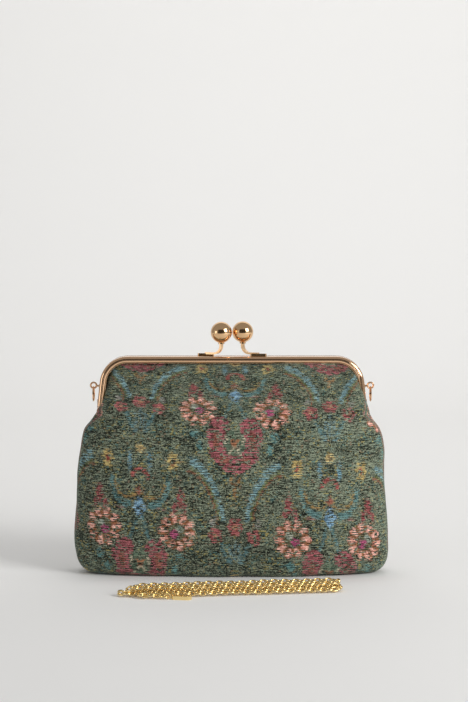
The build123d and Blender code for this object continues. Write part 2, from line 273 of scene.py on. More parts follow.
# name, place, target, size, power, and whether the metal mirrors it
lamps = (
    ("key", (1.42, -1.08, 0.92), (0, 0, 0.1), 0.9, 25, True),
    ("fill", (-1.45, -0.8, 0.3), (0, 0, 0.1), 0.6, 1.8, True),
    ("wall", (0.1, 0.45, 2.1), (0, 1.7, 1.35), 1.5, 19, False),
)

world = bpy.data.worlds.new("room")
scene.world = world
world.use_nodes = True
room = world.node_tree.nodes["Background"]
room.inputs["Color"].default_value = (1.0, 1.0, 1.0, 1.0)
room.inputs["Strength"].default_value = room_strength

for name, spot, target, size, power, mirrored in lamps:
    lamp = bpy.data.lights.new(name, "AREA")
    lamp.size = size
    lamp.energy = power
    holder = bpy.data.objects.new(name, lamp)
    holder.location = spot
    holder.rotation_euler = (Vector(target) - Vector(spot)).to_track_quat("-Z", "Y").to_euler()
    holder.visible_glossy = mirrored
    scene.collection.objects.link(holder)
    print(f"{name} lamp: {power} W")

# %% [markdown]
# ## Metal
#
# Two platings: the frame and the clasp are a pale rose gold, the strap a yellow gold. One roughness all over
# would look too clean, because real plating has been wiped and worn. So a soft noise changes the roughness
# from place to place, and a fine one leaves faint polishing marks.

# %% Metal finishes
wear_scale = 160.0
mark_scale = 900.0
mark_depth = 0.02 * mm
mark_strength = 0.25


def metal(name, tone, roughness, wear):
    finish = Finish(name)
    place = finish.object_place()
    cloud = finish.noise(place, wear_scale, 3.0)
    return finish.done(
        Base_Color=tone,
        Metallic=1.0,
        Roughness=roughness + (cloud - 0.5) * wear,
        Normal=finish.bump(finish.noise(place, mark_scale, 1.0), mark_depth, mark_strength),
    )


frame_metal = metal("frame metal", colour(236, 194, 156), 0.12, 0.08)
clasp_metal = metal("clasp metal", colour(236, 194, 148), 0.12, 0.06)
chain_metal = metal("chain metal", colour(255, 226, 160), 0.24, 0.1)
cord_paper = Finish("paper cord")
cord_material = cord_paper.done(Base_Color=colour(176, 158, 128), Roughness=0.95)

paint(frame_metal, "front_frame", "back_frame", "hinge_rivets", "eyelets", "left_ring", "right_ring")
paint(clasp_metal, "front_ball_arm", "back_ball_arm", "front_ball", "back_ball")
paint(chain_metal, "near_clasp_body", "near_clasp_gate", "far_clasp_body", "far_clasp_gate")
paint(chain_metal, "clasp_pins", "end_links")
paint(cord_material, "front_edge_cord", "back_edge_cord")
print("metals:", frame_metal.name, clasp_metal.name, chain_metal.name, sep=" | ")

# %% [markdown]
# ## The frame's mouldings and the balls
#
# The real frame is pressed from one strip, with a rounded band outside, a bead inside and a narrow valley
# between them. Bevels on the CAD frame could give such lines, but its mesh stays as it is. So two bars with a
# drawn profile follow the arch on each half. The band turns from the light above to the dark in front, and
# the bead's face tilts inwards, so that along the top it shows the bright floor. The balls get a smooth
# shell.

# %% The frame's line
foot_half_width = 102.5
corner_half_width = 98.4
foot_height = 128.0
arch_top = 165.7
corner_radius = 21.3
corner_steps = 14
# a second ring of points this far above the foot keeps the shading of the arm straight
foot_ring = 0.4


def arch_line(inset):
    """The arch from its left foot to its right one, inset from the frame's outer line."""
    slope = (foot_half_width - corner_half_width) / (arch_top - foot_height)
    lean = math.hypot(1, slope)
    middle_x = corner_half_width + corner_radius * (slope - lean)
    middle_z = arch_top - corner_radius
    radius = corner_radius - inset
    start = math.atan(slope)
    half = [(foot_half_width - rise * slope - inset * lean, foot_height + rise) for rise in (0.0, foot_ring)]
    for step in range(corner_steps + 1):
        turn = start + (math.pi / 2 - start) * step / corner_steps
        half.append((middle_x + radius * math.cos(turn), middle_z + radius * math.sin(turn)))
    return [(-x, z) for x, z in half] + half[::-1]


def moulding(bm, profile):
    """A bar along the arch, added to bm. The profile goes round it as insets and depths."""
    lines = [[Vector((x, depth, z)) * mm for x, z in arch_line(inset)] for inset, depth in profile]
    rings = [[bm.verts.new(spot) for spot in ring] for ring in zip(*lines)]
    for ring, after in zip(rings, rings[1:]):
        for index in range(len(ring)):
            bm.faces.new((ring[index - 1], ring[index], after[index], after[index - 1]))
    bm.faces.new(rings[0])
    bm.faces.new(rings[-1])


def arc(inset, depth, radius, start, end, steps):
    """Points on a part of a circle. 0 degrees is inwards, 90 is outwards from the frame's face."""
    turns = [math.radians(start + (end - start) * step / steps) for step in range(steps + 1)]
    return [(inset + radius * math.cos(turn), depth + radius * math.sin(turn)) for turn in turns]


# %% Mouldings and balls
# insets from the frame's outer line, and depths in front of the bag's middle
band_profile = [*arc(2.4, 5.3, 2.5, 180, 90, 10), (2.5, 7.8), (2.7, 7.8), (2.7, 6.0), (0.6, 5.3)]
bead_face = [(2.3, 7.6), (2.45, 7.95), (2.65, 8.05), (3.9, 7.72)]
bead_back = [(4.4, 7.2), (4.9, 6.4), (4.9, 6.0), (2.3, 6.0)]
ball_side = 8.15
ball_lean = 3.0
ball_level = 184.0
ball_shell = 8.1

for half, facing in (("front", -1), ("back", 1)):
    bm = bmesh.new()
    for profile in (band_profile, bead_face + bead_back):
        moulding(bm, [(inset, facing * depth) for inset, depth in profile])
    bmesh.ops.recalc_face_normals(bm, faces=bm.faces)
    beads = add_piece(f"{half}_beads", bm, frame_metal)
    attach(beads, f"{half}_half")

    bm = bmesh.new()
    bmesh.ops.create_uvsphere(bm, u_segments=40, v_segments=24, radius=ball_shell * mm)
    spot = Vector((-facing * ball_side, -facing * ball_lean, ball_level)) * mm
    bmesh.ops.translate(bm, vec=spot, verts=bm.verts)
    shell = add_piece(f"{half}_ball_shell", bm, clasp_metal)
    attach(shell, f"{half}_half")

# %% [markdown]
# ## The eyelets
#
# A loop of wire stands out on each side of the frame and holds a ring. The CAD eyelet is thin and has few
# sides. bmesh has no ready torus, so a small circle is spun once around the loop's middle. The wire gets
# thicker outwards only: the hole stays as it was, so that the ring keeps its play.

# %% Eyelets
eyelet_level = 143.04
eyelet_depth = 3.5
eyelet_out = 105.89
eyelet_bend = 2.2
eyelet_wire = 0.7
merge_gap = 0.01 * mm

bm = bmesh.new()
for hand in (-1, 1):
    made = bmesh.ops.create_circle(bm, segments=12, radius=eyelet_wire * mm)
    spot = Vector((hand * eyelet_out, eyelet_depth, eyelet_level)) * mm
    bmesh.ops.translate(bm, vec=spot + Vector((eyelet_bend * mm, 0, 0)), verts=made["verts"])
    ring = list({edge for vert in made["verts"] for edge in vert.link_edges})
    bmesh.ops.spin(bm, geom=ring, cent=spot, axis=(0, 1, 0), angle=2 * math.pi, steps=28, use_merge=True)
bmesh.ops.remove_doubles(bm, verts=bm.verts, dist=merge_gap)
bmesh.ops.recalc_face_normals(bm, faces=bm.faces)
eyes = add_piece("eyelet_shells", bm, frame_metal)
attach(eyes, "back_half")

# %% [markdown]
# ## The chain strap
#
# The strap is one chain more than a metre long, laid in long loops: an outer one, one inside it and one on
# top. A plain solid has the same outline, but a chain shows its links. So one line runs through all the
# loops, as the real chain does, and a link sits on it at every step, leaned towards the camera, now more and
# now less. Each link is a ring, spun from its wire and pulled long.

# %% The strap's route
hank_spot = Vector((0.5, -86, 0)) * mm
hank_turn = Matrix.Rotation(math.radians(8), 4, "Z")
low_layer = 2.7
high_layer = 7.0
tip_start = -38.0
tip_end = -80.0
tip_narrowing = 0.5
tip_curve = 1.4
lane_spacing = 13.0
sway = 0.45
sway_length = 9.5
lift = 0.25
lift_length = 7.0
lane_phase = 1.7
turn_shares = (0.16, 0.33, 0.5, 0.67, 0.84)

# from, to, how far across the hank and how high
lanes = (
    (-50.2, -66.0, -12.6, low_layer),
    (-66.0, 72.0, -6.9, low_layer),
    (72.0, -79.0, 6.9, low_layer),
    (-79.0, 76.0, -2.3, low_layer),
    (76.0, -74.0, 2.3, low_layer),
    (-74.0, 73.0, -4.5, high_layer),
    (73.0, -69.0, 4.5, high_layer),
    (-69.0, 21.0, 12.9, low_layer),
)

route = []


def narrowed(along):
    """The hank runs to a point on the left."""
    return 1 - tip_narrowing * limited((tip_start - along) / (tip_start - tip_end)) ** tip_curve


def lane(start, end, across, height, phase):
    """A strand of the hank: points from start to end, a little wavy."""
    count = max(3, round(abs(end - start) / lane_spacing))
    for step in range(count + 1):
        along = start + (end - start) * step / count
        aside = across * narrowed(along) + sway * math.sin(along / sway_length + phase)
        route.append((along, aside, height + lift * math.sin(along / lift_length + phase)))


def turn_back(end, from_across, to_across, from_height, to_height):
    """The bend between two strands."""
    side = 1 if end > 0 else -1
    middle = (from_across + to_across) / 2 * narrowed(end)
    reach = abs(to_across - from_across) / 2 * narrowed(end)
    forward = 1 if from_across > to_across else -1
    for share in turn_shares:
        turn = math.pi * share
        height = from_height + (to_height - from_height) * share
        route.append((end + side * reach * math.sin(turn), middle + forward * reach * math.cos(turn), height))


for index, (start, end, across, height) in enumerate(lanes):
    lane(start, end, across, height, lane_phase * index)
    if index + 1 < len(lanes):
        after = lanes[index + 1]
        turn_back(end, across, after[2], height, after[3])

curve = bpy.data.curves.new("strap route", "CURVE")
curve.dimensions = "3D"
curve.resolution_u = 6
spline = curve.splines.new("NURBS")
spline.points.add(len(route) - 1)
for point, spot in zip(spline.points, route):
    place = hank_spot + hank_turn @ (Vector(spot) * mm)
    point.co = (*place, 1.0)
spline.order_u = 3
spline.use_endpoint_u = True
guide = bpy.data.objects.new("strap guide", curve)
scene.collection.objects.link(guide)
guide_mesh = bpy.data.meshes.new_from_object(guide)
strap_line = [vert.co.copy() for vert in guide_mesh.vertices]
bpy.data.objects.remove(guide)

# %% The strap's links
link_pitch = 4.0 * mm
link_wire = 1.2 * mm
link_width = 4.5 * mm
bend_steps = 12
wire_steps = 8
link_lean = 28
link_swing = 18
pull_from = 0.2 * mm

bm = bmesh.new()
bmesh.ops.create_circle(bm, segments=wire_steps, radius=link_wire / 2)
stand = Matrix.Translation((link_width / 2 - link_wire / 2, 0, 0)) @ Matrix.Rotation(math.pi / 2, 4, "X")
bmesh.ops.transform(bm, matrix=stand, verts=bm.verts)
bmesh.ops.spin(
    bm,
    geom=bm.edges[:],
    cent=(0, 0, 0),
    axis=(0, 0, 1),
    angle=2 * math.pi,
    steps=bend_steps,
    use_merge=True,
    use_duplicate=False,
)
bmesh.ops.remove_doubles(bm, verts=bm.verts, dist=merge_gap)
pull = (link_pitch + 2 * link_wire - link_width) / 2
for vert in bm.verts:
    vert.co.y += math.copysign(pull, vert.co.y) if abs(vert.co.y) > pull_from else 0.0
bmesh.ops.recalc_face_normals(bm, faces=bm.faces)
link = bpy.data.meshes.new("link")
bm.to_mesh(link)
bm.free()


def along_line(line, step):
    """Points on a line at equal steps, each with the line's direction there."""
    spots = []
    left = step / 2
    for a, b in zip(line, line[1:]):
        span = (b - a).length
        while left <= span:
            spots.append((a.lerp(b, left / span), (b - a).normalized()))
            left += step
        left -= span
    return spots


bm = bmesh.new()
up = Vector((0, 0, 1))
for index, (spot, heading) in enumerate(along_line(strap_line, link_pitch)):
    side = up.cross(heading).normalized()
    top = heading.cross(side)
    lie = Matrix((side, heading, top)).transposed().to_4x4()
    lean = -math.copysign(link_lean, heading.x) + (link_swing if index % 2 else -link_swing)
    roll = Matrix.Rotation(math.radians(lean), 4, "Y")
    first = len(bm.verts)
    bm.from_mesh(link)
    bm.verts.ensure_lookup_table()
    bmesh.ops.transform(bm, matrix=Matrix.Translation(spot) @ lie @ roll, verts=bm.verts[first:])
strap = add_piece("strap", bm, chain_metal)
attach(strap, "pouch")
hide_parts("chain_strap")

# %% [markdown]
# ## The woven cloth
#
# The cloth is a chenille tapestry: rows of thick weft, each row a little out of step with the next. A picture
# could be laid on it, but a drawn pattern stays sharp and can be changed. The pattern repeats in staggered
# columns and mirrors about each of them, so the coordinates are folded into one half of one repeat, and every
# flower is drawn once. They are cut into threads first, which gives each edge the steps of a loom.

# %% Threads
# millimetres of cloth to one unit of its map
map_unit = 100
row_height = 0.78
thread_step = 1.05
row_shift = 1.7
cover_step = 2.3
shade_step = 3.1

cloth = Finish("tapestry")
across, along, _ = cloth.parts(cloth.node("ShaderNodeUVMap", {"uv_map": "cloth"}))
across = across * map_unit
along = along * map_unit

row = (along / row_height).math("FLOOR")
shifted = across + (cloth.scatter(cloth.vector(row, 3.7)) - 0.5) * row_shift
thread = (shifted / thread_step).math("FLOOR")
thread_across = (thread + 0.5) * thread_step
thread_along = (row + 0.5) * row_height
thread_chance = cloth.scatter(cloth.vector(row, (shifted / cover_step).math("FLOOR"), 5.0))
shade_chance = cloth.scatter(cloth.vector(row, (shifted / shade_step).math("FLOOR"), 9.0))

# %% One repeat, folded
half_repeat = 71.5
drop = 173.0
flower_across = 2.2
flower_along = 95.0
weave_tilt = 0.066
tilt_change = 0.0002

slope = weave_tilt - thread_along * tilt_change
u = thread_across - flower_across
v = thread_along - flower_along + u * slope
u = u.math("PINGPONG", half_repeat)
next_column = u.math("GREATER_THAN", half_repeat / 2)
u = abs(next_column * half_repeat - u)
v = (v + next_column * (drop / 2)).math("WRAP", drop / 2, -drop / 2)
beside_u = half_repeat - u
beside_v = (v + drop / 2).math("WRAP", drop / 2, -drop / 2)

# %% [markdown]
# Each shape is a distance in millimetres from its edge, less than nothing inside. `inside` turns it into a
# share. The numbers are places and sizes on one half of a repeat, with u to the side and v upwards.


# %% Shape helpers
def inside(distance, soft=1.0):
    return distance.math("MULTIPLY_ADD", -1 / soft, 0.5, clamp=True)


def away(side, rise):
    """How far a place is from a middle, from its distances to the side and up."""
    return (side * side + rise * rise).math("SQRT")


def oval(middle_u, middle_v, reach_u, reach_v):
    """How far a place is from an oval's middle, as a share of the oval's reach."""
    return away((u - middle_u) / reach_u, (v - middle_v) / reach_v)


def blot(middle_u, middle_v, reach_u, reach_v, drawn_out=0.0):
    """A filled oval, with its edge drawn out by so many millimetres."""
    return inside((oval(middle_u, middle_v, reach_u, reach_v) - 1) * min(reach_u, reach_v) - drawn_out)


def within(value, low, high):
    return inside(abs(value - (low + high) / 2) - (high - low) / 2)


def petals(middle_u, middle_v, count):
    angle = (v - middle_v).math("ARCTAN2", u - middle_u)
    return (angle * count).math("COSINE") * 0.5 + 0.5


def any_of(*shares):
    found = shares[0]
    for share in shares[1:]:
        found = found | share
    return found


# %% Palmette
# scalloped lobes on a tapering body, around an open heart
scallop = abs(((v - 1.0).math("ARCTAN2", u) * 4.6 + 0.5).math("SINE")) * 1.6
lobes = blot(10.8, 9.0, 9.0, 9.6, scallop)
taper = (1 - ((v / -19.0) | 0.0) ** 2.0) | 0.0
body = inside(u - taper**0.8 * 18.6 - scallop) * within(v, -20.5, 9.5)
notch = inside(u - 4.2) * within(v, 8.0, 24.0)
heart = blot(0.0, 2.5, 8.4, 9.0)
palmette = any_of(lobes, body) * (1 - notch)
palmette_vein = any_of(blot(13.6, 4.0, 2.6, 6.5), blot(8.0, -9.5, 4.0, 2.4))
heart_mark = any_of(
    inside(abs(u - 6.4) - 1.0) * within(v, 1.5, 7.0),
    inside(abs(u + v * 0.6 - 1.0) - 0.9) * within(v, -6.0, 0.0),
)
heart_core = inside(abs(u - (v - 0.5) * 0.55) - 1.5) * within(v, -3.0, 5.0)
palmette_stem = any_of(
    inside(abs(u - 2.4 - (v + 27) * 0.15) - 1.1) * within(v, -27.0, -21.0),
    inside(u - 1.1) * within(v, -34.0, -25.0),
)

# %% Rosette
# a ring of lit and shaded petals around a core in two colours, with a spray above it. It reaches over the
# line between two columns, so each place takes the nearer rosette of the two.
rosette_across = 28.0
rosette_up = 26.0
rosette_height = 0.94
petal_count = 10

rosette_u = u - rosette_across
rosette_v = (v - rosette_up) / rosette_height
other_u = beside_u - rosette_across
other_v = (beside_v - rosette_up) / rosette_height
own_place = away(rosette_u, rosette_v)
other_place = away(other_u, other_v)
other = other_place.math("LESS_THAN", own_place)
rosette_u = rosette_u + other * (other_u - rosette_u)
rosette_v = rosette_v + other * (other_v - rosette_v)
rosette_place = own_place & other_place
rosette_angle = rosette_v.math("ARCTAN2", rosette_u) * petal_count
rosette_petals = rosette_angle.math("COSINE") * 0.5 + 0.5
petal_light = (rosette_angle + 0.9).math("COSINE") * 0.5 + 0.5
rosette = inside(rosette_place - 12.2 - rosette_petals * 2.4)
petal = inside(abs(rosette_place - 10.4) - 2.3 - petal_light * 1.4) * inside(0.4 - petal_light, 0.4)
rosette_ring = inside(rosette_place - 6.3)
rosette_core = inside(away(rosette_u + 1.6, rosette_v + 1.6) - 3.4)
rosette_glint = inside(away(rosette_u - 2.4, rosette_v - 2.4) - 2.7)
spray = any_of(blot(31.0, 49.0, 3.0, 6.4), blot(26.4, 42.5, 1.8, 3.8), blot(34.4, 42.5, 1.4, 3.2))

# %% Bud, arms, arch and the sprig over them
bud = inside(u * 1.1 + abs(v - 41.5) * 0.72 - 6.0)
legs = inside(abs(u - 1.5 - (36.0 - v) * 0.34) - 1.3) * within(v, 18.0, 37.0)
arm = inside(abs(oval(9.5, 62.0, 12.5, 19.0) - 1) * 14 - 1.8) * inside(v - 62.0) * inside(6.0 - u)
arm_line = inside(abs(oval(9.0, 58.0, 9.6, 10.0) - 1) * 9.6 - 0.8) * inside(v - 58.0)
arch = inside(abs(oval(0.0, 61.5, 6.0, 5.8) - 1) * 5.8 - 1.4) * inside(60.5 - v)
cross = any_of(blot(0.0, 53.0, 3.4, 1.6), blot(0.0, 53.0, 1.4, 3.6))
side_dash = blot(14.5, 41.0, 4.4, 1.2)
strokes = blot(7.6, 73.0, 1.6, 6.4)
low_v = (v + drop / 2).math("WRAP", drop, 0.0)
dot_reach = 3.3
dot_place = oval(0.0, 81.5, 3.7, 3.5)
dot = inside((dot_place - 1) * dot_reach)
dot_core = inside((dot_place - 0.4) * dot_reach)
sprig = any_of(
    inside(abs(u - 3.4) - 1.1) * within(low_v, 6.5, 20.0),
    inside(u - 1.0) * within(low_v, 9.0, 24.0),
)
small_spot = (25.0, 73.5)
small_flower = blot(*small_spot, 4.0, 5.6, petals(*small_spot, 6))
small_core = blot(*small_spot, 1.4, 2.6)

# %% Leaf scrolls and the line inside them
scroll_place = ((abs(u - 34.0) / 25.0) ** 1.6 + (((v + 50.0) | 0.0) / 38.5) ** 1.6) ** 0.625
scroll_edge = (scroll_place - 1) * 30
scroll_reach = inside(u - 34.0) * within(v, -51.0, -9.0)
scroll_saw = abs((v * 0.85).math("SINE")) * 0.9
scroll = inside(abs(scroll_edge) - 1.6 - (v + 40.0) * 0.02 - scroll_saw) * scroll_reach
scroll_fill = within(scroll_edge, -5.0, -1.0) * scroll_reach
scroll_line = inside(abs(scroll_edge + 5.4) - 0.7) * inside(u - 36.0) * within(v, -54.0, -14.0)

# %% Blossoms and leaves
blossom_spot = (0.0, -54.5)
side_spot = (14.5, -61.0)
blossom = any_of(
    blot(*blossom_spot, 5.4, 5.6, petals(*blossom_spot, 6) * 1.2),
    blot(*side_spot, 4.4, 4.8, petals(*side_spot, 5) * 1.2),
)
blossom_core = any_of(inside((oval(*blossom_spot, 1.9, 1.9) - 1) * 2), blot(*side_spot, 1.5, 1.5))
pale_leaf = blot(17.0, -51.5, 2.2, 3.2)
side_leaf = any_of(blot(30.0, 7.0, 3.4, 3.6), blot(26.0, -1.5, 2.4, 4.0))
low_leaf = inside(abs(u - 8.0 - (v + 72.0) * 0.5) - 1.6) * within(v, -80.0, -66.0)

# %% [markdown]
# One colour for each motif would look printed. So every colour is a pair, a dark and a light one, because
# each thread shows both. The ground comes first, and each layer is woven over what is there, with some
# threads left out so that the ground shows through.

# %% Colours of the threads
# how far the changes in the yarn reach across and along the cloth, in millimetres
slub_size = (6.5, 0.8)
patch_size = (24, 14)
grain_size = (0.9, 0.7)
fleck_step = 1.5
# painted light and shade on the ground, standing in for the light from the right: shares per millimetre
# across and along the cloth, and the height in millimetres where the ground is lightest
painted_shade_across = 0.0008
painted_shade_along = 0.0014
painted_shade_middle = 85

slub = cloth.noise(cloth.vector(across / slub_size[0], along / slub_size[1]), 1.0, 2.0)
patch = cloth.noise(cloth.vector(across / patch_size[0], along / patch_size[1]), 1.0, 2.0)
grain = cloth.noise(cloth.vector(across / grain_size[0], along / grain_size[1], 3.0), 1.0, 1.0)
fleck = cloth.scatter(cloth.vector(row, (shifted / fleck_step).math("FLOOR"), 2.0))
under_row = row.math("FLOORED_MODULO", 2.0)

ground_share = (slub - 0.5) * 2.4 + (patch - 0.5) * 1.2 + (grain - 0.5) * 2.6 + (fleck - 0.5) * 0.9
# painted shade: the ground is lighter on the right, darker on the left, and darker towards the top and the
# bottom
painted_shade = across * painted_shade_across - abs(along - painted_shade_middle) * painted_shade_along
ground_share = (ground_share + painted_shade + 0.44).math("ADD", 0.0, clamp=True)
weave = cloth.mix(ground_share, colour(22, 26, 20), colour(136, 146, 125))
thread_tone = shade_chance * 0.9 - under_row * 0.45 + (slub - 0.5) * 0.8 + (grain - 0.5) * 1.2 + 0.3
thread_tone = thread_tone.math("ADD", 0.0, clamp=True)

leafy = inside(0.5 - cloth.noise(cloth.vector(u / 7, v / 9), 1.0, 1.0), 0.14)
olive_chance = inside(0.79 - fleck, 0.02) * leafy
teal_chance = inside(fleck - 0.15, 0.02) * leafy
brown_chance = inside(0.93 - fleck, 0.02)
layers = (
    (brown_chance * 0.7, colour(72, 52, 40), colour(150, 112, 90)),
    (olive_chance * 0.8, colour(88, 82, 44), colour(172, 158, 92)),
    (teal_chance * 0.8, colour(54, 84, 82), colour(108, 144, 136)),
    (low_leaf * 0.8, colour(50, 84, 88), colour(108, 146, 150)),
    (side_leaf * 0.8, colour(50, 88, 92), colour(112, 158, 156)),
    (side_dash * 0.8, colour(100, 60, 54), colour(180, 138, 128)),
    (legs * 0.8, colour(50, 80, 84), colour(108, 146, 148)),
    (arm, colour(46, 76, 78), colour(116, 152, 150)),
    (arm_line, colour(96, 64, 42), colour(170, 140, 90)),
    (scroll_fill * 0.6, colour(58, 70, 38), colour(134, 140, 84)),
    (scroll, colour(44, 70, 78), colour(146, 182, 186)),
    (scroll_line, colour(88, 54, 46), colour(156, 108, 84)),
    (strokes, colour(52, 84, 98), colour(128, 166, 178)),
    (sprig * 0.85, colour(54, 80, 86), colour(126, 158, 164)),
    (bud, colour(54, 86, 112), colour(150, 188, 212)),
    (arch, colour(100, 46, 44), colour(180, 100, 96)),
    (cross, colour(98, 50, 44), colour(162, 104, 88)),
    (dot, colour(144, 118, 74), colour(222, 202, 144)),
    (dot_core, colour(108, 84, 62), colour(146, 128, 98)),
    (small_flower, colour(122, 102, 62), colour(210, 188, 124)),
    (small_core, colour(98, 36, 38), colour(164, 80, 78)),
    (spray, colour(92, 44, 46), colour(168, 96, 96)),
    (rosette, colour(84, 54, 34), colour(168, 112, 80)),
    (petal, colour(190, 116, 100), colour(248, 196, 180)),
    (rosette_ring, colour(54, 60, 46), colour(116, 110, 84)),
    (rosette_glint, colour(82, 108, 100), colour(200, 202, 186)),
    (rosette_core, colour(108, 42, 70), colour(194, 100, 136)),
    (blossom, colour(84, 40, 40), colour(184, 108, 108)),
    (blossom_core, colour(134, 92, 74), colour(200, 152, 122)),
    (pale_leaf * 0.45, colour(122, 116, 114), colour(210, 200, 196)),
    (palmette, colour(78, 36, 36), colour(184, 108, 114)),
    (palmette * palmette_vein * 0.8, colour(94, 58, 48), colour(158, 102, 84)),
    (heart, colour(54, 72, 60), colour(112, 132, 110)),
    (heart_core, colour(106, 58, 46), colour(178, 122, 88)),
    (heart_mark, colour(136, 128, 102), colour(216, 206, 180)),
    (palmette_stem, colour(100, 66, 44), colour(180, 140, 96)),
)
cover = inside(0.24 + under_row * 0.2 - (slub - 0.5) * 0.6 - thread_chance, 0.14)
for share, dark, light in layers:
    weave = cloth.mix(share * cover, weave, cloth.mix(thread_tone, dark, light))
shade = 0.94 + (slub - 0.5) * 1.3 + (grain - 0.5) * 1.4
weave = cloth.node(
    "ShaderNodeVectorMath", {"operation": "MULTIPLY"}, {0: weave, 1: cloth.vector(shade, shade, shade)}
)

# %% The cloth's surface
knot_step = 1.9
pile_depth = 0.35 * mm
pile_strength = 0.8

ridge = abs((along * (math.pi / row_height)).math("SINE"))
knot = abs((shifted * (math.pi / knot_step)).math("SINE"))
cloth_height = ridge * 0.4 + knot * ridge * 0.2 + grain * 0.7 + slub * 0.6
tapestry = cloth.done(
    Base_Color=weave,
    Roughness=0.95,
    Normal=cloth.bump(cloth_height, pile_depth, pile_strength),
    Sheen_Weight=0.35,
    Sheen_Roughness=0.5,
    Sheen_Tint=colour(190, 205, 190),
    Specular_IOR_Level=0.2,
)
print("tapestry nodes:", len(cloth.tree.nodes))

# %% [markdown]
# ## The pouch
#
# Each panel is a lofted shell. A cloth simulation could blow up a flat cut, but its outline would only come
# close to the real one. So a table gives the outline at a number of heights: how wide it is on each side, how
# deep, and where its ends go, first into the side seam and higher up into the frame's channel. A grid takes
# that shape, and then the cloth is pressed in and out along its normals for the folds below the frame. The
# lining is the same shell, set further in.

# %% The panel's outline
# height, half width on the left and right, depth, depth at the left and right end, then half width and depth
# of the hidden edge
panel_rows = (
    (0.4, 92.0, 94.0, 0.6, 0.3, 0.3, 93.0, 0.1),
    (0.0, 99.0, 101.0, 10.0, 0.4, 0.4, 99.0, 0.1),
    (0.1, 108.0, 109.0, 19.0, 0.5, 0.5, 107.5, 0.1),
    (1.6, 112.2, 113.4, 25.0, 0.6, 0.6, 112.0, 0.1),
    (6.5, 116.4, 117.3, 29.3, 0.7, 0.7, 116.0, 0.1),
    (15.0, 119.2, 119.6, 32.3, 0.8, 0.8, 118.4, 0.1),
    (30.0, 121.0, 119.2, 34.0, 0.8, 0.8, 119.0, 0.1),
    (49.0, 119.6, 117.8, 34.4, 0.8, 0.8, 117.6, 0.1),
    (66.0, 118.2, 116.9, 33.4, 0.8, 0.8, 116.4, 0.1),
    (82.0, 117.2, 116.8, 31.8, 0.8, 0.8, 115.8, 0.1),
    (95.0, 115.8, 116.5, 29.8, 0.8, 0.8, 115.0, 0.1),
    (104.0, 114.3, 115.0, 28.2, 0.9, 0.9, 113.4, 0.1),
    (111.0, 112.2, 112.8, 26.8, 1.4, 1.4, 111.0, 0.3),
    (117.0, 107.9, 108.8, 25.4, 3.6, 3.6, 105.8, 2.0),
    (122.0, 104.6, 105.8, 24.0, 6.8, 6.8, 99.6, 5.2),
    (127.0, 100.9, 104.2, 22.6, 6.0, 8.4, 99.9, 5.0),
    (134.0, 97.0, 101.2, 20.2, 3.6, 8.6, 99.5, 4.8),
    (142.0, 94.6, 97.6, 17.2, 3.0, 8.2, 98.6, 4.8),
    (149.0, 92.3, 93.8, 13.8, 3.2, 7.6, 97.6, 4.8),
    (155.0, 89.9, 90.0, 10.6, 4.4, 7.0, 94.9, 4.8),
    (158.6, 87.0, 86.6, 7.6, 5.0, 6.0, 91.6, 4.8),
    (160.6, 84.8, 84.4, 5.4, 5.1, 5.1, 88.9, 4.8),
    (163.2, 82.0, 82.0, 4.9, 4.9, 4.9, 82.0, 4.8),
)
face_share = 0.93
squareness = 0.8
seam_depth = 0.1
left_tuck = 1.6
edge_follow_share = 0.6


def row_at(share):
    """The outline at a share of the way up the table, on a smooth curve through its rows."""
    place = share * (len(panel_rows) - 1)
    first = min(int(place), len(panel_rows) - 2)
    t = place - first
    picked = [panel_rows[min(max(first + step, 0), len(panel_rows) - 1)] for step in (-1, 0, 1, 2)]
    return [
        b + 0.5 * t * (c - a + t * (2 * a - 5 * b + 4 * c - d + t * (3 * (b - c) + d - a)))
        for a, b, c, d in zip(*picked)
    ]


def on_panel(side, share):
    """A point of the front panel in millimetres. side goes from -1 on the left to 1 on the right."""
    height, left, right, depth, left_end, right_end, edge, edge_depth = row_at(share)
    wide, end_depth = (left, left_end) if side < 0 else (right, right_end)
    if side < 0:
        edge_depth = max(seam_depth, min(edge_depth, left_end - left_tuck))
    hand = -1 if side < 0 else 1
    if abs(side) <= face_share:
        angle = (1 - abs(side) / face_share) * math.pi / 2
        out = wide * math.cos(angle) ** squareness
        deep = end_depth + (depth - end_depth) * math.sin(angle) ** squareness
    else:
        tuck = (abs(side) - face_share) / (1 - face_share)
        edge = edge + (wide - (left + right) / 2) * edge_follow_share
        out = wide + (edge - wide) * tuck
        deep = end_depth + (edge_depth - end_depth) * tuck
    return Vector((hand * out, -deep, height))


# %% Folds
# from one point to another in x and z, how wide, and how far in or out
front_folds = (
    (-78, 153, -84, 136, 4.8, -2.1),
    (-88, 150, -92, 132, 6.0, 2.0),
    (-70, 158, -66, 142, 5.5, 0.9),
    (86, 156, 93, 138, 5.0, 1.2),
    (77, 158, 84, 142, 4.0, -1.3),
    (-100, 118, -70, 104, 9.0, -1.6),
    (101, 118, 84, 102, 8.0, -1.4),
    (-106, 60, -98, 24, 12.0, 0.9),
    (104, 84, 96, 40, 11.0, -0.9),
    (-40, 150, -20, 132, 9.0, -0.7),
    (30, 152, 18, 128, 9.0, 0.6),
    (-90, 12, -40, 8, 7.0, -0.7),
    (20, 9, 84, 13, 7.0, -0.6),
)
back_folds = (
    (-84, 157, -90, 136, 4.0, -2.0),
    (82, 157, 88, 138, 4.0, -2.2),
    (-100, 116, -84, 100, 8.0, -1.1),
    (98, 118, 84, 104, 8.0, -0.9),
    (-30, 150, -18, 130, 9.0, 0.8),
    (44, 150, 28, 126, 10.0, -0.8),
    (60, 70, 76, 30, 14.0, 0.9),
)

# %% How far the cloth stands out
swell_depth = 1.7
swell_size = (42, 30)
ripple_depth = 0.35
ripple_size = (12, 11)
gather_top = 158.0
gather_fade = 15.0
gather_end = 160.5
gather_depth = 0.9
gather_width = 4.6
gather_wander = 2.2
wander_width = 30
fold_end = 161.0
top_ease = 8.0


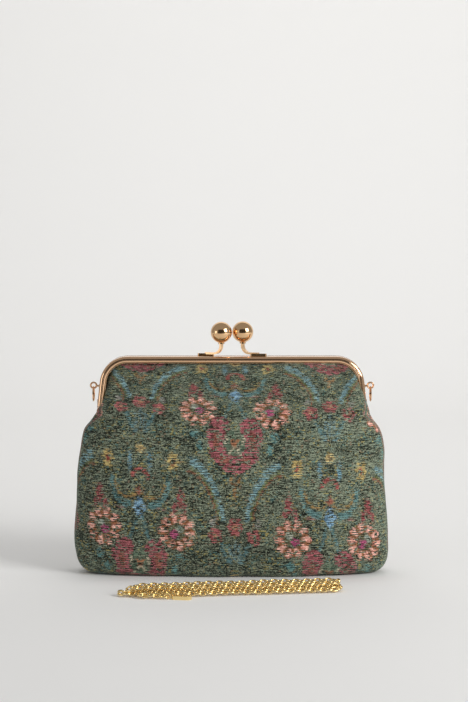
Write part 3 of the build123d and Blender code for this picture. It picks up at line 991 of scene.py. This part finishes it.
def fold_height(x, z, folds, seed):
    """How far the cloth stands out at a place, in millimetres."""
    height = swell_depth * noise.noise(Vector((x / swell_size[0], z / swell_size[1], seed)))
    height += ripple_depth * noise.noise(Vector((x / ripple_size[0], z / ripple_size[1], seed + 4)))
    gather = math.exp(-max(0.0, gather_top - z) / gather_fade) * limited((gather_end - z) / top_ease)
    wander = gather_wander * noise.noise(Vector((x / wander_width, 0, seed + 8)))
    height += gather * gather_depth * math.sin(x / gather_width + wander)
    for x1, z1, x2, z2, width, amount in folds:
        run, rise = x2 - x1, z2 - z1
        t = limited(((x - x1) * run + (z - z1) * rise) / (run * run + rise * rise))
        off = math.hypot(x - x1 - t * run, z - z1 - t * rise)
        height += amount * math.exp(-((off / width) ** 2)) * limited((fold_end - z) / top_ease)
    return height


# %% [markdown]
# A flat projection would stretch the weave where the cloth turns away. So each point of the grid gets its
# place on the cloth itself: how far up the middle its row lies, and how far along the row it is. Between
# base_end and wall_start the climb is counted by height, elsewhere by length. It is then drawn together
# around still_climb, and spread again above upper_climb.

# %% Places on the cloth
base_end = 3.0
wall_start = 30.0
still_climb = 50.0
climb_share = 0.9
upper_climb = 126.0
upper_share = 0.55


def row_climbs(middle):
    """How far up the cloth each row lies, from the points in the middle of the rows."""
    climbed = -middle[0].co.y
    lengths = []
    for below, above in zip([middle[0], *middle], middle):
        step = above.co - below.co
        climbed += step.z if base_end < above.co.z < wall_start else step.length
        lengths.append(climbed)
    level = next(length for length, vert in zip(lengths, middle) if vert.co.z > wall_start)
    climbs = [length - level + wall_start for length in lengths]
    return [
        still_climb + (climb - still_climb) * climb_share + upper_share * max(0.0, climb - upper_climb)
        for climb in climbs
    ]


def cloth_places(rows, middle):
    """Where each point of the grid lies on the cloth, in units of its map."""
    places = {}
    for row, centre, climb in zip(rows, middle, row_climbs(middle)):
        row.sort(key=lambda vert: vert.co.x)
        start = row.index(centre)
        places[centre] = (0.0, climb / map_unit)
        for hand in (1, -1):
            run = 0.0
            index = start
            while 0 <= index + hand < len(row):
                run += (row[index + hand].co - row[index].co).length
                index += hand
                places[row[index]] = (hand * run / map_unit, climb / map_unit)
    return places


# %% Panels and linings
side_ease = 0.12
base_ease = 0.12
rim_ease = 0.06
parting = 0.05


def panel(name, grid, material, folds, seed, inset, thickness, hand):
    """A panel as a closed sheet. hand is 1 for the front and -1 for the back."""
    bm = bmesh.new()
    bmesh.ops.create_grid(bm, x_segments=grid[0], y_segments=grid[1], size=1)
    spots = {}
    by_share = {}
    for vert in bm.verts:
        side, share = vert.co.x, (vert.co.y + 1) / 2
        spots[vert] = (side, share)
        by_share.setdefault(round(share, 5), []).append(vert)
        vert.co = on_panel(side, share)
    bm.normal_update()
    rows = [row for _, row in sorted(by_share.items())]
    middle = [min(row, key=lambda vert: abs(spots[vert][0])) for row in rows]
    if middle[len(middle) // 2].normal.y > 0:
        bmesh.ops.reverse_faces(bm, faces=bm.faces)
        bm.normal_update()
    places = cloth_places(rows, middle)

    moves = {}
    for vert, (side, share) in spots.items():
        ease = limited((1 - abs(side)) / side_ease) * limited(share / base_ease)
        ease *= limited((1 - share) / rim_ease)
        moves[vert] = vert.normal * (fold_height(vert.co.x, vert.co.z, folds, seed) * ease - inset)
    for vert, move in moves.items():
        vert.co += move
        vert.co.y = min(vert.co.y, -parting)
        vert.co.z = max(vert.co.z, 0.0)

    weave_map = bm.loops.layers.uv.new("cloth")
    for face in bm.faces:
        for loop in face.loops:
            loop[weave_map].uv = places[loop.vert]
    bmesh.ops.solidify(bm, geom=bm.faces[:], thickness=thickness)
    bmesh.ops.scale(bm, verts=bm.verts, vec=(mm, hand * mm, mm))
    bmesh.ops.recalc_face_normals(bm, faces=bm.faces)
    return add_piece(name, bm, material)


# %% The lining's satin
rib_height = 0.5
satin = Finish("lining")
satin_place = satin.parts(satin.node("ShaderNodeUVMap", {"uv_map": "cloth"}))
satin_rib = (satin_place[1] * (map_unit * math.pi / rib_height)).math("SINE")
lining_material = satin.done(
    Base_Color=satin.mix(satin_rib * 0.15 + 0.5, colour(60, 70, 60), colour(84, 96, 82)),
    Roughness=0.5,
    Sheen_Weight=0.2,
)

# %% The four sheets
cloth_grid = (150, 150)
cloth_thickness = 1.2
lining_grid = (60, 70)
lining_thickness = 0.4
lining_inset = 2.0
for name, half, folds, seed, hand in (
    ("front", "front_half", front_folds, 1.3, 1),
    ("back", "back_half", back_folds, 7.9, -1),
):
    outer = panel(f"{name}_cloth", cloth_grid, tapestry, folds, seed, 0.0, cloth_thickness, hand)
    inner = panel(
        f"{name}_lining_cloth", lining_grid, lining_material, (), seed, lining_inset, lining_thickness, hand
    )
    for piece, node, slot in ((outer, "panel", "tapestry"), (inner, "lining", "lining_cloth")):
        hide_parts(f"{name}_{node}")
        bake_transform(piece)
